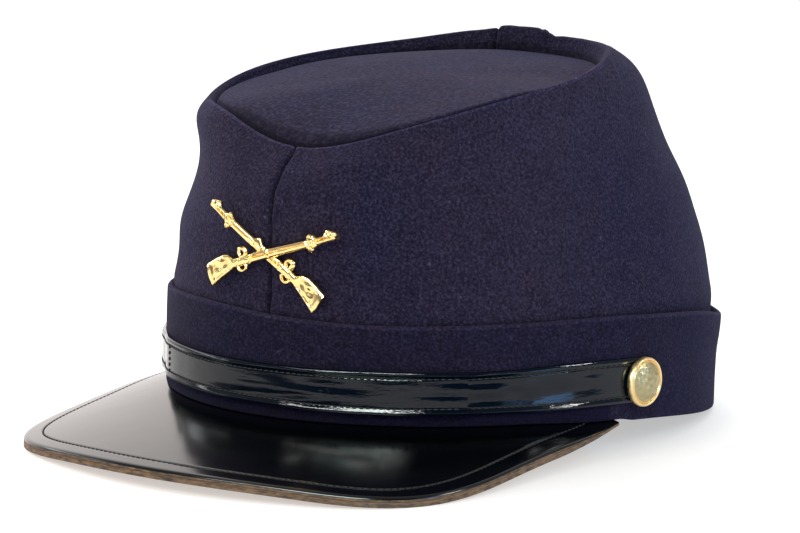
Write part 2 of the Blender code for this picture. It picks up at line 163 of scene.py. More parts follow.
def at_rest(points):
    """From the upright cap to the cap as it lies, with the origin under its middle."""
    p = np.asarray(points, float)
    c, s = math.cos(math.radians(LEAN)), math.sin(math.radians(LEAN))
    y = p[..., 1] * c + p[..., 2] * s + MIDDLE_SHIFT
    z = p[..., 2] * c - (p[..., 1] - HALF_LENGTH) * s + SETTLE
    return np.stack([p[..., 0], y, np.maximum(z, 0.0)], -1)


def peak_height(azimuth, reach):
    fall = PEAK_SLOPE[0] + PEAK_SLOPE[1] * np.sin(np.radians(azimuth)) ** 2
    pared = 1.4 * smooth(52, PEAK_END, np.abs(azimuth))
    return PEAK_SEAT - reach * np.tan(np.radians(fall)) - pared


def base_height(azimuth, outset):
    y = oval(azimuth, outset)[1]
    side = smooth(PEAK_END + 0.6, PEAK_END + 5, np.abs(azimuth))
    held = np.clip(azimuth, -PEAK_END, PEAK_END)
    pressed = 0.5 * smooth(SETTLE_START, SETTLE_END, y)
    return (peak_height(held, outset) + 0.1) * (1 - side) - settle(y) - pressed


def crown_row(azimuth):
    """Crest height, depth of the top below it and the wall's profile at each azimuth."""
    rows, turn = np.array(CROWN_SECTIONS, float), [360, 0, 0, 0, 0]
    wrapped = np.concatenate([rows - turn, rows, rows + turn])
    crest, drop, waisted, sloped = spline(wrapped[:, 0], wrapped[:, 1:], azimuth).T
    profile = (np.outer(1 - waisted - sloped, UPRIGHT) + np.outer(waisted, WAISTED)
               + np.outer(sloped, SLOPED))
    return crest, drop, profile


def crest_plan(azimuth, inset):
    """Plan of the crown's rim, this far in from its outer edge."""
    return oval(azimuth, -inset, CREST_HALF_WIDTH, CREST_HALF_LENGTH, CREST_Y)


def normals(grid):
    """Unit normals of a grid of points, (around) x (along)."""
    n = np.cross(np.gradient(grid, axis=0), np.gradient(grid, axis=1))
    return n / np.maximum(np.linalg.norm(n, axis=-1, keepdims=True), 1e-9)


def waves(a, b, seed, count=7, low=0.6, high=2.2):
    """Smooth irregular swell of two coordinates, about -1 to 1, the same on every run."""
    rng = np.random.default_rng(seed)
    total = 0.0
    for _ in range(count):
        angle, scale, phase = rng.uniform(0, 2 * np.pi), rng.uniform(low, high), rng.uniform(0, 6.28)
        total = total + np.sin(scale * (a * np.cos(angle) + b * np.sin(angle)) + phase)
    return total / math.sqrt(count) / 1.4


# ---- meshes
def grid_faces(n, m, start=0, ring=False, flip=False):
    """Quads over an n by m grid of vertices, closed round the first axis if ring."""
    i = np.arange(n if ring else n - 1)[:, None]
    k = np.arange(m - 1)[None, :]
    j = (i + 1) % n
    quads = np.stack([i * m + k, j * m + k, j * m + k + 1, i * m + k + 1], -1).reshape(-1, 4) + start
    return quads[:, ::-1] if flip else quads


def corners(quads):
    return [tuple(map(int, quad)) for quad in quads]


def shell(front, back, ring=False):
    """Vertices and faces of a closed sheet between two grids."""
    n, m = front.shape[:2]
    points = np.concatenate([front.reshape(-1, 3), back.reshape(-1, 3)])
    half = n * m
    faces = [grid_faces(n, m, 0, ring), grid_faces(n, m, half, ring, True)]
    i = np.arange(n if ring else n - 1)
    j = (i + 1) % n
    for k in (0, m - 1):
        edge = np.stack([i * m + k, j * m + k, j * m + k + half, i * m + k + half], -1)
        faces.append(edge if k else edge[:, ::-1])
    if not ring:
        k = np.arange(m - 1)
        for i in (0, n - 1):
            edge = np.stack([i * m + k, i * m + k + 1, i * m + k + 1 + half, i * m + k + half], -1)
            faces.append(edge if i == 0 else edge[:, ::-1])
    return points, corners(np.concatenate(faces))


def cell(face, n, m):
    """Row and column of a shell's face in its n by m grid."""
    return min(v % m for v in face), min(v // m for v in face) % n


def split(points, faces, materials, pick):
    """A mesh's parts by material; pick gives each face's place in the list of materials."""
    kinds = [[] for _ in materials]
    for face in faces:
        kinds[int(pick(face))].append(face)
    return [(points, kind, material) for kind, material in zip(kinds, materials)]


def new_object(name, data):
    obj = bpy.data.objects.new(name, data)
    bpy.context.scene.collection.objects.link(obj)
    return obj


def piece(name, parts, nodes=(), sharp_from=40):
    """One visible object from [(points in mm, faces, material), ...], riding on the cap."""
    points, faces, marks, materials = [], [], [], []
    start = 0
    for part_points, part_faces, material in parts:
        if material not in materials:
            materials.append(material)
        points.append(at_rest(part_points).reshape(-1, 3) * MM)
        faces += [tuple(v + start for v in f) for f in part_faces]
        marks += [materials.index(material)] * len(part_faces)
        start += len(points[-1])
    mesh = bpy.data.meshes.new(name)
    mesh.from_pydata(np.concatenate(points).tolist(), [], faces)
    for material in materials:
        mesh.materials.append(material)
    mesh.polygons.foreach_set("material_index", marks)
    work = bmesh.new()
    work.from_mesh(mesh)
    bmesh.ops.remove_doubles(work, verts=work.verts, dist=1e-6)
    bmesh.ops.dissolve_degenerate(work, edges=work.edges, dist=1e-7)
    bmesh.ops.recalc_face_normals(work, faces=work.faces)
    work.to_mesh(mesh)
    work.free()
    mesh.shade_smooth()
    mesh.set_sharp_from_angle(angle=math.radians(sharp_from))
    obj = new_object(name, mesh)
    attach(obj, "root")
    if nodes:
        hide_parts(*nodes)


# ---- materials
class Nodes:
    """Short calls for building the nodes of a material or the world."""

    def __init__(self, owner, coordinates="Object"):
        owner.use_nodes = True
        self.owner, self.tree = owner, owner.node_tree
        self.place = self.tree.nodes.new("ShaderNodeTexCoord").outputs[coordinates]

    def fill(self, node, inputs):
        for key, value in inputs.items():
            if isinstance(value, bpy.types.NodeSocket):
                self.tree.links.new(value, node.inputs[key])
            else:
                node.inputs[key].default_value = value
        return node

    def add(self, kind, inputs, **settings):
        node = self.tree.nodes.new(kind)
        for key, value in settings.items():
            setattr(node, key, value)
        return self.fill(node, inputs)

    def noise(self, scale, detail=2.0, rough=0.5, stretch=None, distortion=0.0):
        place = self.place
        if stretch:
            place = self.add("ShaderNodeMapping", {"Vector": place, "Scale": stretch}).outputs[0]
        return self.add("ShaderNodeTexNoise", {
            "Vector": place, "Scale": scale, "Detail": detail, "Roughness": rough,
            "Distortion": distortion}).outputs["Fac"]

    def span(self, value, low, high, out_low=0.0, out_high=1.0, kind="LINEAR"):
        return self.add("ShaderNodeMapRange", {
            "Value": value, "From Min": low, "From Max": high, "To Min": out_low, "To Max": out_high,
        }, interpolation_type=kind).outputs[0]

    def near(self, spot, reach):
        """1 at a place on the cap, given in mm, and 0 from this distance on."""
        apart = self.add("ShaderNodeVectorMath", {0: self.place, 1: tuple(v * MM for v in spot)},
                         operation="DISTANCE")
        return self.span(apart.outputs["Value"], 0.0, reach * MM, 1.0, 0.0, "SMOOTHSTEP")

    def mix(self, share, a, b):
        """Colours blended; the node's sockets 6, 7 and 2 are the ones that hold colours."""
        a, b = (v if isinstance(v, bpy.types.NodeSocket) else (*v, 1.0) for v in (a, b))
        return self.add("ShaderNodeMix", {"Factor": share, 6: a, 7: b}, data_type="RGBA").outputs[2]

    def bump(self, height, distance, strength=1.0, under=None):
        inputs = {"Height": height, "Distance": distance, "Strength": strength}
        if under is not None:
            inputs["Normal"] = under
        return self.add("ShaderNodeBump", inputs).outputs[0]

    def surface(self, **values):
        self.fill(self.tree.nodes["Principled BSDF"], {
            key.replace("_", " "): (*value, 1.0) if isinstance(value, tuple) else value
            for key, value in values.items()})
        return self.owner


def new_material(name):
    return Nodes(bpy.data.materials.new(name))


# place, reach, share and colour of the broad patches painted into the crown's cloth: pools of painted
# warm light, with some warm tone, on the wearer's left front and side, and painted bluish light on the
# wearer's left towards the back
PAINTED_WALL_LIGHT = (
    ((66, -18, 108), 46, 0.62, (0.037, 0.027, 0.05)),
    ((68, -28, 60), 48, 0.5, (0.035, 0.0245, 0.042)),
    ((54, -46, 80), 34, 0.35, (0.033, 0.019, 0.03)),
    ((52, 14, 106), 36, 0.7, (0.036, 0.029, 0.052)),
    ((74, 70, 66), 88, 0.9, (0.0072, 0.007, 0.032)),
)
# place, reach, share and colour of painted bluish light on the band, on the wearer's left towards the
# back
PAINTED_BAND_LIGHT = (((84, 66, 18), 88, 0.9, (0.007, 0.007, 0.033)),)
# place, reach, share and colour of painted shade over the middle of the top
PAINTED_TOP_SHADE = (((-22, 6, 107), 44, 0.5, (0.0085, 0.0066, 0.019)),)


def wool_material(name, shade=1.0, grain=1.0, contrast=1.0, blue=1.0, painted_light=()):
    n = new_material(name)

    def dyed(red, green, violet):
        return red * shade * 0.93, green * shade, violet * shade * blue * 1.135

    def layer(under, pattern, low, high, share, colour):
        return n.mix(n.span(pattern, low, high, 0.0, share), under, dyed(*colour))

    broad = n.noise(22, 3, 0.55)
    rust = n.noise(75, 4, 0.7)
    blotch = n.noise(120, 3, 0.6)
    fleck = n.noise(1200 * grain, 3, 0.6)
    fibre = n.noise(3000 * grain, 2, 0.65, distortion=0.8)
    lint = n.noise(620, 0.0)
    tone = n.mix(n.span(broad, 0.35, 0.65), dyed(0.0108, 0.0106, 0.0345), dyed(0.02, 0.0134, 0.03))
    tone = layer(tone, rust, 0.52, 0.66, 0.4, (0.027, 0.014, 0.024))
    # patches of painted light and painted shade laid over the cloth's colour
    for spot, reach, share, colour in painted_light:
        part = n.add("ShaderNodeMath", {0: n.near(spot, reach), 1: share}, operation="MULTIPLY")
        tone = n.mix(part.outputs[0], tone, dyed(*colour))
    tone = layer(tone, blotch, 0.5, 0.68, 0.35, (0.024, 0.0205, 0.045))
    tone = layer(tone, blotch, 0.48, 0.32, 0.4, (0.008, 0.007, 0.021))
    tone = layer(tone, fleck, 0.5, 0.68, 0.55 * contrast, (0.052, 0.044, 0.084))
    tone = layer(tone, fleck, 0.5, 0.32, 0.62 * contrast, (0.003, 0.0027, 0.01))
    tone = layer(tone, fibre, 0.6, 0.75, 0.3 * contrast, (0.07, 0.06, 0.096))
    tone = layer(tone, lint, 0.83, 0.87, 0.35 * contrast, (0.11, 0.105, 0.14))
    soft = n.bump(n.noise(420, 3, 0.6), 0.00035, 0.5)
    fuzz = n.bump(fibre, 0.0002, 0.7, soft)
    return n.surface(Base_Color=tone, Roughness=0.95, Normal=fuzz, Sheen_Weight=0.05,
                     Sheen_Roughness=0.5, Sheen_Tint=(0.7, 0.66, 1.0), Specular_IOR_Level=0.06)


def patent_material(name, ripple, coat_ior, coat_blur, green=1.0, blue=1.0, streak=0.0):
    n = new_material(name)
    haze = n.noise(26, 3, 0.5)
    tone = n.mix(haze, (0.0003, 0.0007 * green, 0.0011 * blue),
                 (0.0007, 0.0013 * green, 0.0018 * blue))
    swell = n.bump(n.noise(45, 2, 0.5), 0.001 * ripple, 0.12)
    if streak:
        swell = n.bump(n.noise(150, 4, 0.6, (1.0, 1.0, 4.5)), 0.001 * streak, 1.0, swell)
    pores = n.bump(n.noise(700, 2, 0.5), 0.00005, 0.3, swell)
    return n.surface(Base_Color=tone, Roughness=0.4, Normal=pores, Coat_Weight=1.0, Coat_IOR=coat_ior,
                     Coat_Roughness=coat_blur, Coat_Normal=swell, Specular_IOR_Level=0.0)


def raw_leather_material(name, dark, light, edge=False):
    n = new_material(name)
    stretch = (1.0, 1.0, 4.0) if edge else None
    grain = n.noise(300, 4, 0.65, stretch)
    broad = n.noise(40, 3, 0.5)
    tone = n.mix(n.span(grain, 0.38, 0.62), dark, light)
    tone = n.mix(n.span(broad, 0.55, 0.72, 0.0, 0.35), tone, (0.4, 0.25, 0.12))
    rough = n.bump(n.noise(900, 4, 0.7, stretch), 0.00025, 0.8)
    return n.surface(Base_Color=tone, Roughness=0.62, Normal=rough, Specular_IOR_Level=0.4)


def brass_material(name, colour, dark, roughness):
    n = new_material(name)
    wear = n.noise(240, 3, 0.6)
    tone = n.mix(n.span(wear, 0.55, 0.75, 0.0, 0.6), colour, dark)
    rough = n.span(n.noise(500, 3, 0.6), 0.3, 0.7, roughness * 0.7, roughness * 1.5)
    dents = n.bump(n.noise(420, 2, 0.5), 0.00018, 0.5)
    return n.surface(Base_Color=tone, Roughness=rough, Metallic=1.0, Normal=dents)


def thread_material(name, colour):
    n = new_material(name)
    twist = n.noise(1800, 2, 0.6)
    tone = n.mix(twist, colour, tuple(c * 2.2 for c in colour))
    return n.surface(Base_Color=tone, Roughness=0.6, Normal=n.bump(twist, 0.0001, 0.7),
                     Specular_IOR_Level=0.25)


wool = wool_material("navy_wool_felt", 0.94, contrast=1.3, painted_light=PAINTED_WALL_LIGHT)
band_wool = wool_material("navy_band_felt", 0.6, contrast=1.2, blue=1.2, painted_light=PAINTED_BAND_LIGHT)
shaded_wool = wool_material("shaded_band_felt", 0.3, blue=1.8)
# painted highlight on the band's folded top edge
band_edge_highlight_wool = wool_material("band_edge_highlight_felt", 1.15)
top_wool = wool_material("navy_top_felt", 0.9, 0.65, 1.2, painted_light=PAINTED_TOP_SHADE)
# painted highlight along the rim's fold
rim_highlight_wool = wool_material("rim_highlight_felt", 1.7)
# painted shade on cloth near the rim's creases
tuck_shade_wool = wool_material("tuck_shade_felt", 0.6, 0.5, 1.2)
# painted deep shade in the creases where the top meets the rim
crease_shade_wool = wool_material("crease_shade_felt", 0.32)
patent = patent_material("patent_leather", 0.6, 1.5, 0.155)
strap_patent = patent_material("strap_patent_leather", 2.0, 1.35, 0.07, 3.6, 7.0, 0.11)
raw_edge = raw_leather_material("raw_leather_edge", (0.034, 0.017, 0.008), (0.21, 0.125, 0.062), True)
tan_leather = raw_leather_material("tan_leather", (0.2, 0.115, 0.06), (0.31, 0.19, 0.105))
badge_brass = brass_material("polished_badge_brass", (0.95, 0.69, 0.3), (0.62, 0.31, 0.07), 0.17)
button_brass = brass_material("button_brass", (0.4, 0.345, 0.19), (0.3, 0.22, 0.11), 0.38)
rim_brass = brass_material("button_rim_brass", (0.86, 0.64, 0.32), (0.7, 0.4, 0.14), 0.33)
black_thread = thread_material("black_thread", (0.005, 0.0055, 0.006))


# ---- crown
def seam_relief(distance, height_share):
    """Cloth near a seam: a valley at the seam, a soft ridge beside it and small puckers."""
    valley = -1.4 * bell(distance, 0.0, 0.62)
    ridge = 0.16 * bell(distance, 2.4, 1.4)
    pucker = 0.14 * np.sin(height_share * 43 + 1.3) * bell(distance, 2.2, 2.4)
    return (valley + ridge + pucker) * (1 - 0.5 * smooth(0.92, 1.0, height_share))


def rim_roll(azimuth):
    """Radius of the rim's fold, thicker at the two ends of the top as the photo's view shows it."""
    return ROLL + 1.7 * bell(azimuth, -65, 28) + 2.0 * bell(azimuth, 110, 26)


INNER_SWELL = 0.8  # how far the turned-in cloth of the rim bulges over the top
SEAM_OFF, SEAM_GAP = 4.6, 0.17
# place across the back rim, and how far its edge stands above or below its height there
BACK_RIM = (
    (-40, 0.0), (-12, -0.37), (-8.5, -0.2), (-5.0, 0.0), (-0.5, 0.5), (3.5, 0.35), (8, 0.47),
    (11.5, 0.44), (14.3, 0.0), (16.8, -0.4), (19.0, -1.1), (23, -0.6), (33, -0.25), (43, -0.35),
    (51, -0.6), (58, 0.0),
)
SKIRT = (0.0, 0.35, 0.7)  # steps up the crown's hidden part behind the band
THIN_FROM = 0.93  # height share from which the cloth's inner face closes in on the rim
RIM_HIGHLIGHT_SPAN = (-48, 100)  # azimuths between which the rim's fold gets a painted highlight


def back_rim(grid, out, share):
    """Move the back seam off the middle at the top, and give the rim beside it its uneven edge."""
    x, y = grid[..., 0], grid[..., 1]
    slide = SEAM_OFF * bell(x, 0.0, 24.0) * smooth(-5, 20, y) * smooth(0.35, 1.0, share)
    along_rim = (CREST_HALF_LENGTH / CREST_HALF_WIDTH) ** 2 / np.maximum(y - CREST_Y, 20.0)
    x, y = x - slide, y + slide * (x - slide / 2) * along_rim
    rear = smooth(-12, 2, y)
    z = grid[..., 2] + smooth(0.85, 1.0, share) * rear * look_up(BACK_RIM, x)
    fold = smooth(-5.0, -4.2, x) * (1 - smooth(16.0, 19.0, x)) * smooth(0.99, 1.0, share) * rear
    wrinkle = 0.35 * np.sin(1.9 * x + 0.9 * z) * bell(x, 15.5, 3.0) * smooth(0.97, 1.0, share) * rear
    return np.stack([x, y, z], -1) + out * (0.55 * fold + wrinkle)[..., None]


def crown_grid(azimuth):
    """The crown's outer face from behind the band, over the rim and down inside to the top."""
    crest, drop, profile = crown_row(azimuth)
    outset = -(BAND_CLOTH + GAP)
    x0, y0 = oval(azimuth, outset + side_shift(azimuth)[1])
    x1, y1 = crest_plan(azimuth, 0.0)
    foot = BAND_TOP - settle(y0)
    rows, share = [], []
    low = base_height(azimuth, outset - CROWN_CLOTH)
    for t in SKIRT:
        rows.append((x0, y0, low + t * (foot - low)))
        share.append(0.0)
    heights = np.concatenate([np.linspace(0, 0.86, 52), np.linspace(0.88, 1.0, 14)])
    wall = spline(PROFILE_HEIGHTS, profile.T, heights)
    for f, h in zip(wall, heights):
        rows.append((x0 + f * (x1 - x0), y0 + f * (y1 - y0), foot + h * (crest - foot)))
        share.append(h)
    roll = rim_roll(azimuth)
    for turn in np.linspace(12, 90, 8):
        t = math.radians(turn)
        x, y = crest_plan(azimuth, roll * math.sin(t))
        rows.append((x, y, crest - roll * (1 - math.cos(t))))
        share.append(1.0)
    end = crest - np.maximum(drop, roll) - TOP_CLOTH
    for t in (0.15, 0.3, 0.45, 0.6, 0.75, 0.9, 1.0):
        x, y = crest_plan(azimuth, roll + 0.4 * t + INNER_SWELL * math.sin(math.pi * t))
        rows.append((x, y, (crest - roll) * (1 - t) + end * t))
        share.append(1.0)
    face = np.stack([np.stack(r, -1) for r in rows], 1)
    return face, np.array(share)


def build_crown():
    fine = np.array([0, 0.08, 0.17, 0.28, 0.4, 0.55, 0.75, 1.0, 1.35, 1.75, 2.2, 2.8, 3.5, 4.4])
    azimuth = np.concatenate([fine, np.linspace(5.5, 174.5, 200), 180 - fine[::-1]])
    for name, side in (("crown_left", 1), ("crown_right", -1)):
        face, share = crown_grid(azimuth * side)
        out = normals(face) * side
        arc = np.abs(face[..., 0])
        height = share[None, :] + 0.0 * arc
        seam = seam_relief(arc, height)
        seam *= np.where(np.arange(len(share)) < len(SKIRT), 0.0, 1.0)[None, :]
        a, b = face[..., 1] / 18.0, face[..., 2] / 18.0
        swell = 0.58 * waves(a + side * 9, b, 11 + side) + 0.18 * waves(a * 3, b * 3, 23 + side)
        swell *= smooth(0.02, 0.25, share)[None, :] * (1 - smooth(0.86, 0.97, share))[None, :]
        swell *= smooth(2, 14, arc)
        bulge = 0.5 * bell(share, 0.05, 0.05)[None, :]
        face = face + out * (seam + swell + bulge)[..., None]
        back = face - out * CROWN_CLOTH
        top = int(np.argmax(share >= THIN_FROM))
        for k in range(top, face.shape[1]):
            t = (k - top) / (face.shape[1] - 1 - top)
            back[:, k] = back[:, top] * (1 - t) + (face[:, -1] + (0, 0, -0.3)) * t
        for grid in (face, back):
            grid[..., 0] = side * np.maximum(side * grid[..., 0], SEAM_GAP)
        face = back_rim(face, out, height)
        back = back_rim(back, 0.0 * out, height)
        points, faces = shell(face, back)
        n, m = face.shape[:2]
        fold_row = int(np.argmax(share == 1.0))

        def pick(f):
            row, column = cell(f, n, m)
            if max(f) >= n * m:
                return 0
            # the rows of the rim's fold get the painted highlight between these azimuths
            if fold_row - 1 <= row < fold_row + 3:
                return RIM_HIGHLIGHT_SPAN[0] < azimuth[column] * side < RIM_HIGHLIGHT_SPAN[1]
            # the turned-in rows of the rim get painted shade, darkest nearest the top
            return 0 if row < fold_row + 11 else 2 if row < fold_row + 13 else 3

        parts = split(points, faces, (wool, rim_highlight_wool, tuck_shade_wool, crease_shade_wool), pick)
        piece(f"{name}_cloth", parts, [name], 60)


SEEN_DOME = 4.6  # how far the top's middle stands above its edge
EDGE_DEPTH = 2.8  # how far the top's tucked edge lies below the rim where it faces the front


def build_crown_top():
    around = 240
    azimuth = np.arange(around) * 360.0 / around - 180.0
    crest, drop, _ = crown_row(azimuth)
    x, y = crest_plan(azimuth, rim_roll(azimuth) + 0.15)
    behind = smooth(60, 105, np.abs(azimuth))
    edge = np.stack([x, y, crest - drop * behind], -1)
    system = np.stack([x, y, np.ones_like(x)], -1)
    plane = np.linalg.lstsq(system, edge[:, 2], rcond=None)[0]
    off = edge[:, 2] - system @ plane
    front = bell(azimuth, 0, 26)
    reach, bulge = 2.0 + 3.0 * front, 0.3 + 1.5 * front
    rows = []
    steps = (0.0, 0.04, 0.12, 0.25, 0.45, 0.7, 1.0, 1.4, 1.9, 2.5, 3.2, 4.0, 5.0, 6.2, 7.5)
    for share in np.concatenate([1 - np.array(steps) / CREST_HALF_WIDTH, np.linspace(0.87, 0.02, 28)]):
        px, py = share * x, CREST_Y + share * (y - CREST_Y)
        level = plane[0] * px + plane[1] * py + plane[2]
        inward = (1 - share) * CREST_HALF_WIDTH
        turned = quarter_round(inward, reach)
        lip = bulge * turned * bell(np.maximum(inward - reach, 0), 0.0, 26.0) - EDGE_DEPTH * (1 - turned)
        tuck = -1.2 * bell(inward, 0.0, 1.7)
        swell = 0.35 * waves(px / 16, py / 16, 5) * (1 - share**6)
        rows.append((px, py, level + off * share**2 + SEEN_DOME * (1 - share**2) + swell
                     + lip * (1 - behind) + tuck * behind))
    face = np.stack([np.stack(r, -1) for r in rows], 1)
    back = face - (0, 0, TOP_CLOTH)
    points, faces = shell(face, back, ring=True)
    n, m = face.shape[:2]
    faces = [f for f in faces if not all(v % m == m - 1 for v in f)]
    faces.append(tuple(i * m + m - 1 for i in range(n)))
    faces.append(tuple(n * m + i * m + m - 1 for i in range(n)))

    def pick(f):
        row, column = cell(f, n, m)
        place = abs(azimuth[column])
        # the rows at the top's edge get painted deep shade, and those further in at the front a lighter
        # painted shade
        if row < (6 if place > 28 else 7):
            return 2
        return row < 12 and place < 30

    parts = split(points, faces, (top_wool, tuck_shade_wool, crease_shade_wool), pick)
    piece("crown_top_cloth", parts, ["crown_top"], 60)


# ---- band
# azimuth, and how much the folded upper edge stands above or below its height there
BAND_TOP_WANDER = (
    (-180, -0.3), (-150, 0.3), (-120, -0.2), (-90, 0.3), (-62, 0.4), (-40, 1.4), (-24, 2.2), (-12, 1.9),
    (0, 1.0), (10, 0.3), (22, -0.2), (37, 0.0), (48, 0.4), (60, 0.8), (70, 0.8), (80, 0.5), (98, 0.8),
    (108, 0.2), (118, -1.2), (135, -0.6), (160, 0.2), (180, -0.3),
)
BAND_SHADED = 72  # azimuth up to which the band's foot lies in the shade under the strap


def build_band():
    azimuth = np.arange(360) * 1.0 - 180.0
    flare, tuck = side_shift(azimuth)
    wander = spline(*np.array(BAND_TOP_WANDER, float).T, azimuth)[:, 0]
    seam = -0.6 * bell((180 - np.abs(azimuth)) * 1.5, 0.0, 0.8)
    radius = BAND_CLOTH / 2

    def line(outset, up, share):
        outset = outset + flare * share + tuck + (seam if outset > -1 else 0)
        return on_side(azimuth, outset, BAND_TOP + wander + up)

    def foot(outset, lift=0.0):
        x, y = oval(azimuth, outset + tuck)
        return np.stack([x, y, base_height(azimuth, outset) + lift], -1)

    outer = [foot(-0.5), foot(-0.12, 0.25), foot(0.0, 0.8)]
    inner = [foot(-1.7), foot(-2.1), foot(-BAND_CLOTH, 0.8)]
    foot_rows, fold_turns = len(outer), np.linspace(20, 90, 5)
    for up in np.linspace(-22, -radius, 16):
        share = float(smooth(-16, -1, up))
        puff = 0.18 * math.sin((up + 22) / 21 * math.pi)
        outer.append(line(puff, up, share))
        inner.append(line(-BAND_CLOTH, up, share))
    for turn in fold_turns:
        t = math.radians(turn)
        outer.append(line(-radius + radius * math.cos(t), -radius * (1 - math.sin(t)), 1.0))
        inner.append(line(-radius - radius * math.cos(t), -radius * (1 - math.sin(t)), 1.0))
    points, faces = shell(np.stack(outer, 1), np.stack(inner, 1), ring=True)
    n, m = len(azimuth), len(outer)

    def pick(f):
        row, column = cell(f, n, m)
        if max(f) >= n * m:
            return 0
        # painted highlight on the folded top edge, and painted shade on the foot under the strap
        if row >= m - len(fold_turns) - 1:
            return 2
        return row < foot_rows and abs(azimuth[column]) < BAND_SHADED

    parts = split(points, faces, (band_wool, shaded_wool, band_edge_highlight_wool), pick)
    piece("band_cloth", parts, ["band"], 60)


# ---- peak
def peak_reach(azimuth):
    half = np.array(PEAK_REACH, float)
    both = np.concatenate([half[:0:-1] * [-1, 1], half])
    return spline(*both.T, azimuth)[:, 0]


def on_oval(x, y):
    """Azimuth and distance outside the oval of plan points."""
    azimuth = np.degrees(np.arctan2(x / HALF_WIDTH, -y / HALF_LENGTH))
    for _ in range(12):
        ox, oy = oval(azimuth)
        nx, ny = oval_normal(azimuth)
        along = (x - ox) * -ny + (y - oy) * nx
        a = np.radians(azimuth)
        size = np.hypot(HALF_WIDTH * np.cos(a), HALF_LENGTH * np.sin(a))
        azimuth = azimuth + np.degrees(along / size) * 0.8
    ox, oy = oval(azimuth)
    nx, ny = oval_normal(azimuth)
    return azimuth, (x - ox) * nx + (y - oy) * ny


def peak_outline(count):
    """The peak's outer edge in equal steps, its inward normals, and the inner edge facing it."""
    fine = np.linspace(-PEAK_END, PEAK_END, 1441)
    edge = np.stack(oval(fine, peak_reach(fine)), -1)
    length = np.concatenate([[0], np.cumsum(np.linalg.norm(np.diff(edge, axis=0), axis=1))])
    azimuth = np.interp(np.linspace(0, length[-1], count), length, fine)
    edge = np.stack(oval(azimuth, peak_reach(azimuth)), -1)
    tangent = np.gradient(edge, axis=0)
    tangent /= np.linalg.norm(tangent, axis=1, keepdims=True)
    inward = np.stack([-tangent[:, 1], tangent[:, 0]], -1)
    inner = np.stack(oval(azimuth, -(BAND_CLOTH + GAP + CROWN_CLOTH)), -1)
    return edge, inward, inner


STITCH_INSET, STITCH_PITCH = 6.0, 2.1
INNER_STEPS = 15  # rows of the peak between its shaped edge and its inner edge
FAR_IN = 20.0  # stands for their distance from the edge, past all its relief
LACQUER_UNDER, TAN_OVER = 0.2, 0.28  # where the two leathers meet, below PEAK_LEATHER


def peak_rows(insets, count=300):
    """Plan rows of the peak at these distances in from its edge, then on to its inner edge."""
    edge, inward, inner = peak_outline(count)
    room = np.linalg.norm(inner - edge, axis=1)
    squeeze = np.minimum(1.0, room / (max(insets) + 2.0))[:, None]
    rows = [edge + inward * squeeze * d for d in insets]
    rows += [rows[-1] * (1 - t) + inner * t for t in np.linspace(0, 1, INNER_STEPS + 1)[1:]]
    plan = np.stack(rows, 1)
    azimuth, reach = on_oval(plan[..., 0], plan[..., 1])
    return plan, peak_height(np.clip(azimuth, -PEAK_END, PEAK_END), reach)


def tip_taper(plan):
    """Share of its full thickness that the peak keeps, towards its two pared ends."""
    azimuth = np.abs(on_oval(plan[..., 0], plan[..., 1])[0])
    return 1 - 0.7 * smooth(54, PEAK_END, azimuth)


def peak_layer(name, node, insets, heights, materials, pick):
    """One leather of the peak; heights gives its two faces from the distance to the edge."""
    plan, level = peak_rows(insets)
    inset = np.array(insets + [FAR_IN] * INNER_STEPS)[None, :]
    thin = tip_taper(plan)
    points, faces = shell(*(np.concatenate([plan, (level + height * thin)[..., None]], -1)
                            for height in heights(inset)))
    half = len(points) // 2
    parts = split(points, faces, materials, lambda f: pick(min(f) < half, max(f) < half))
    piece(name, parts, [node], 50)


def build_peak():
    def lacquered(inset):
        groove = -0.26 * bell(inset, STITCH_INSET, 0.42)
        return groove - 0.75 * (1 - quarter_round(inset, 1.1)), -(PEAK_LEATHER + LACQUER_UNDER)

    def tan(inset):
        soft = 0.25 * bell(inset, 0.0, 0.25)
        return -(PEAK_LEATHER + TAN_OVER) - soft, soft - (PEAK_LEATHER + GAP + UNDERSIDE_LEATHER)

    insets = [0.0, 0.04, 0.14, 0.3, 0.55, 0.9, 1.5, 2.4, 3.4, 4.3, 4.9, 5.25, 5.5, 5.7, 5.85, 6.0, 6.15,
              6.3, 6.5, 6.75, 7.1, 7.8, 9.0]
    peak_layer("peak_patent", "peak", insets, lacquered, (patent, raw_edge),
               lambda first, last: not last)
    peak_layer("peak_underside_leather", "peak_underside",
               [0.0, 0.25, 0.8, 2.0, 4.0, 6.0, 9.0], tan, (raw_edge, tan_leather),
               lambda first, last: first == last)


def tube_parts(paths, radius, material):
    """Short closed capsules along the given point rows, as one mesh part."""
    points, faces, sides = [], [], 6
    for path in paths:
        path = np.asarray(path, float)
        along = np.gradient(path, axis=0)
        along /= np.linalg.norm(along, axis=1, keepdims=True)
        helper = np.where(np.abs(along[:, 2:3]) < 0.8, [[0.0, 0.0, 1.0]], [[1.0, 0.0, 0.0]])
        first = np.cross(along, helper)
        first /= np.linalg.norm(first, axis=1, keepdims=True)
        second = np.cross(along, first)
        taper = np.ones(len(path))
        taper[[0, -1]] = 0.45
        t = np.arange(sides) * 2 * math.pi / sides
        circle = first[:, None] * np.cos(t)[:, None] + second[:, None] * np.sin(t)[:, None]
        ring = path[:, None] + circle * (radius * taper)[:, None, None]
        start = len(points)
        points.extend(ring.reshape(-1, 3))
        n = len(path)
        for i in range(n - 1):
            for k in range(sides):
                q = (k + 1) % sides
                low, high = start + i * sides, start + (i + 1) * sides
                faces.append((low + k, low + q, high + q, high + k))
        faces.append(tuple(start + k for k in reversed(range(sides))))
        faces.append(tuple(start + (n - 1) * sides + k for k in range(sides)))
    return np.array(points), faces, material


